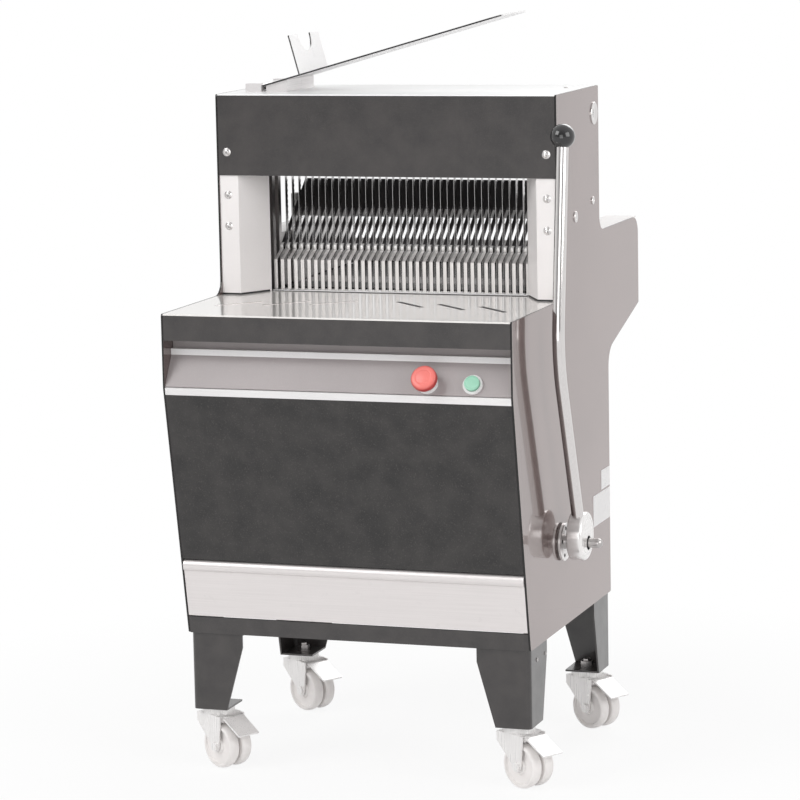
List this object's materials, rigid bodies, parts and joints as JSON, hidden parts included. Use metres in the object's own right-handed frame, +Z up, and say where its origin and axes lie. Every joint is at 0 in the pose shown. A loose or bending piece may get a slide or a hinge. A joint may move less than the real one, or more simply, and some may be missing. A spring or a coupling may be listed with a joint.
{
  "type": "bread slicer machine",
  "caption": "Floor-standing bread slicer: rows of upright blades in two reciprocating frames, hand lever moving a comb pusher, slicing table, crumb drawer, bagging shovel, twin-wheel casters.",
  "frame": {"origin": "middle of the footprint on the floor", "axes": "+Z up, +X to the machine's right as seen from the front, +Y towards its rear"},
  "size_m": [0.6609, 0.7828, 1.2332],
  "materials": {
    "panel_paint": "glossy",
    "dark_paint": "hammered satin",
    "stainless": "brushed",
    "light_paint": "satin",
    "trim": "satin",
    "control_paint": "satin",
    "machined_steel": "machined",
    "blade_steel": "ground",
    "chrome": "polished",
    "aluminium": "machined",
    "iron": "painted",
    "light_nylon": "satin",
    "guide_plastic": "matt",
    "black_plastic": "matt",
    "black_gloss": "glossy",
    "red_plastic": "satin",
    "green_plastic": "satin",
    "belt_rubber": "matt"
  },
  "bodies": {
    "casing": {"side_panel_left": "panel_paint", "side_panel_right": "panel_paint", "head_bands": "dark_paint", "head_top_cover": "light_paint", "pillar_covers": "light_paint", "out_table": "stainless", "table_fascia": "dark_paint", "trim_strips": "trim", "control_panel": "control_paint", "lower_front_panel": "dark_paint", "back_cover": "dark_paint", "trough_floor": "stainless", "trough_liners": "stainless", "base_frame": "dark_paint", "front_legs": "dark_paint", "rear_legs": "dark_paint", "cross_beams": "dark_paint", "frame_guides": "guide_plastic", "crank_bearings": "iron", "drive_belt": "belt_rubber", "motor": "iron", "pusher_rails": "machined_steel", "shaft_flanges": "aluminium", "button_collars": "trim", "shovel_bracket": "stainless", "screws": "chrome", "caster_bolts": "machined_steel"},
    "drawer": {"crumb_drawer": "stainless"},
    "front_blades": {"blade_frame_front": "machined_steel", "blades_front": "blade_steel"},
    "rear_blades": {"blade_frame_rear": "machined_steel", "blades_rear": "blade_steel"},
    "crank": {"crankshaft": "machined_steel", "crank_pulley": "iron"},
    "motor_drive": {"motor_pulley": "machined_steel"},
    "pusher": {"pusher_plate": "black_plastic", "pusher_fingers": "stainless", "pusher_beam": "dark_paint", "pusher_carriage": "dark_paint"},
    "lever": {"lever_shaft": "machined_steel", "lever_hub": "aluminium", "lever_rod": "chrome", "lever_knob": "black_gloss", "swing_arms": "iron"},
    "start": {"start_button": "green_plastic"},
    "stop": {"stop_stem": "trim"},
    "stop_head": {"stop_cap": "red_plastic"},
    "shovel": {"shovel_plate": "stainless"},
    "caster_front_left": {"fork_front_left": "light_nylon"},
    "rollers_front_left": {"wheels_front_left": "light_nylon"},
    "brake_front_left": {"pedal_front_left": "light_nylon"},
    "caster_front_right": {"fork_front_right": "light_nylon"},
    "rollers_front_right": {"wheels_front_right": "light_nylon"},
    "brake_front_right": {"pedal_front_right": "light_nylon"},
    "caster_rear_left": {"fork_rear_left": "light_nylon"},
    "rollers_rear_left": {"wheels_rear_left": "light_nylon"},
    "brake_rear_left": {"pedal_rear_left": "light_nylon"},
    "caster_rear_right": {"fork_rear_right": "light_nylon"},
    "rollers_rear_right": {"wheels_rear_right": "light_nylon"},
    "brake_rear_right": {"pedal_rear_right": "light_nylon"}
  },
  "joints": [
    {"name": "lever_swing", "type": "hinge", "parent": "casing", "child": "lever", "pos_m": [-0.035, -0.10862, 0.374], "axis": [-1, 0, 0], "range_deg": [0, 47.01]},
    {"name": "pusher_slide", "type": "slide", "parent": "casing", "child": "pusher", "axis": [0, 1, 0], "range_m": [0, 0.2801]},
    {"name": "front_blades_slide", "type": "slide", "parent": "casing", "child": "front_blades", "axis": [0, 0, 1], "range_m": [-0.02, 0.02]},
    {"name": "rear_blades_slide", "type": "slide", "parent": "casing", "child": "rear_blades", "axis": [0, 0, 1], "range_m": [-0.02, 0.02]},
    {"name": "crank_spin", "type": "hinge", "parent": "casing", "child": "crank", "pos_m": [-0.035, 0.00638, 0.574], "axis": [1, 0, 0], "continuous": true},
    {"name": "motor_spin", "type": "hinge", "parent": "casing", "child": "motor_drive", "pos_m": [0.162, -0.01862, 0.415], "axis": [1, 0, 0], "continuous": true},
    {"name": "drawer_slide", "type": "slide", "parent": "casing", "child": "drawer", "axis": [0, -1, 0], "range_m": [0, 0.3]},
    {"name": "start_push", "type": "slide", "parent": "casing", "child": "start", "axis": [0, 0.848, -0.53], "range_m": [0, 0.003], "stiffness_N_per_m": 400, "springref_m": -0.002},
    {"name": "stop_push", "type": "slide", "parent": "casing", "child": "stop", "axis": [0, 0.848, -0.53], "range_m": [0, 0.005], "stiffness_N_per_m": 600, "springref_m": -0.003},
    {"name": "stop_twist", "type": "hinge", "parent": "stop", "child": "stop_head", "pos_m": [0.117, -0.35792, 0.66752], "axis": [0, -0.848, 0.53], "range_deg": [0, 30], "stiffness_Nm_per_rad": 0.05, "springref_deg": -5.73},
    {"name": "shovel_tilt", "type": "hinge", "parent": "casing", "child": "shovel", "pos_m": [-0.275, 0.01638, 1.113], "axis": [0, -1, 0], "range_deg": [0, 60]},
    {"name": "swivel_front_left", "type": "hinge", "parent": "casing", "child": "caster_front_left", "pos_m": [-0.296, -0.25262, 0.092], "axis": [0, 0, 1], "continuous": true},
    {"name": "roll_front_left", "type": "hinge", "parent": "caster_front_left", "child": "rollers_front_left", "pos_m": [-0.27695, -0.26362, 0.0375], "axis": [0.5, 0.866, 0], "continuous": true},
    {"name": "pedal_front_left", "type": "hinge", "parent": "caster_front_left", "child": "brake_front_left", "pos_m": [-0.27002, -0.26762, 0.0817], "axis": [0.5, 0.866, 0], "range_deg": [0, 10]},
    {"name": "swivel_front_right", "type": "hinge", "parent": "casing", "child": "caster_front_right", "pos_m": [0.226, -0.25262, 0.092], "axis": [0, 0, 1], "continuous": true},
    {"name": "roll_front_right", "type": "hinge", "parent": "caster_front_right", "child": "rollers_front_right", "pos_m": [0.24505, -0.26362, 0.0375], "axis": [0.5, 0.866, 0], "continuous": true},
    {"name": "pedal_front_right", "type": "hinge", "parent": "caster_front_right", "child": "brake_front_right", "pos_m": [0.25198, -0.26762, 0.0817], "axis": [0.5, 0.866, 0], "range_deg": [0, 10]},
    {"name": "swivel_rear_left", "type": "hinge", "parent": "casing", "child": "caster_rear_left", "pos_m": [-0.296, 0.15338, 0.092], "axis": [0, 0, 1], "continuous": true},
    {"name": "roll_rear_left", "type": "hinge", "parent": "caster_rear_left", "child": "rollers_rear_left", "pos_m": [-0.27695, 0.14238, 0.0375], "axis": [0.5, 0.866, 0], "continuous": true},
    {"name": "pedal_rear_left", "type": "hinge", "parent": "caster_rear_left", "child": "brake_rear_left", "pos_m": [-0.27002, 0.13838, 0.0817], "axis": [0.5, 0.866, 0], "range_deg": [0, 10]},
    {"name": "swivel_rear_right", "type": "hinge", "parent": "casing", "child": "caster_rear_right", "pos_m": [0.226, 0.15338, 0.092], "axis": [0, 0, 1], "continuous": true},
    {"name": "roll_rear_right", "type": "hinge", "parent": "caster_rear_right", "child": "rollers_rear_right", "pos_m": [0.24505, 0.14238, 0.0375], "axis": [0.5, 0.866, 0], "continuous": true},
    {"name": "pedal_rear_right", "type": "hinge", "parent": "caster_rear_right", "child": "brake_rear_right", "pos_m": [0.25198, 0.13838, 0.0817], "axis": [0.5, 0.866, 0], "range_deg": [0, 10]}
  ],
  "couplings": [
    {"joint": "pusher_slide", "follows": "lever_swing", "m_per_rad": 0.34124},
    {"joint": "rear_blades_slide", "follows": "front_blades_slide", "ratio": -1},
    {"joint": "motor_spin", "follows": "crank_spin", "ratio": 2.25}
  ]
}
